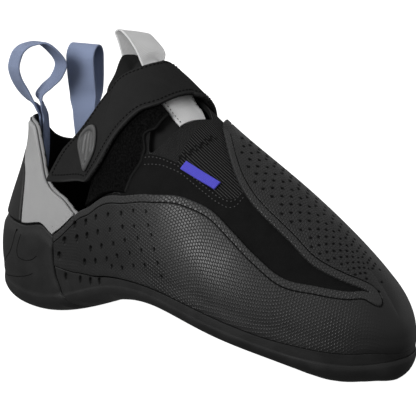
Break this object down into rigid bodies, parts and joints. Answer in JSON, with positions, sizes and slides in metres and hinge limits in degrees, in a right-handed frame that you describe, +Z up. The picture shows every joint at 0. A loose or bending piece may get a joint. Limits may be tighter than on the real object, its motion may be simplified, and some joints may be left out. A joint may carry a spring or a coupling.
{
  "type": "climbing shoe",
  "caption": "Downturned right climbing shoe with a hollow upper, rubber toe wrap and heel cup, one closing strap, a tongue and webbing pull loops.",
  "frame": {"origin": "on the heel's flat spot, at the floor", "axes": "+X to the toe, +Y to the inner (medial) side, -Y to the outer (lateral) side, +Z up"},
  "size_m": [0.2323, 0.0942, 0.1418],
  "materials": {
    "black_suede": "napped synthetic suede",
    "dark_rubber": "satin moulded rubber with small cells",
    "grey_panel": "matte grey synthetic",
    "loop_pile": "fuzzy loop pile",
    "blue_webbing": "woven webbing",
    "pale_tape": "woven tape",
    "badge_plastic": "satin moulded plastic",
    "purple_tag": "woven tag",
    "insole_board": "matte non-woven board"
  },
  "bodies": {
    "root": {"upper": "black_suede", "outsole": "dark_rubber", "heel_cup": "dark_rubber", "rubber_wrap": "dark_rubber", "heel_strip": "dark_rubber", "heel_panel_outer": "grey_panel", "heel_panel_inner": "grey_panel", "loop_panel": "loop_pile", "strap": "black_suede", "strap_badge": "badge_plastic", "tongue": "black_suede", "tongue_tape": "pale_tape", "tongue_loop": "pale_tape", "heel_loop_back": "blue_webbing", "heel_loop_inner": "blue_webbing", "throat_tag": "purple_tag", "insole": "insole_board"}
  },
  "joints": []
}
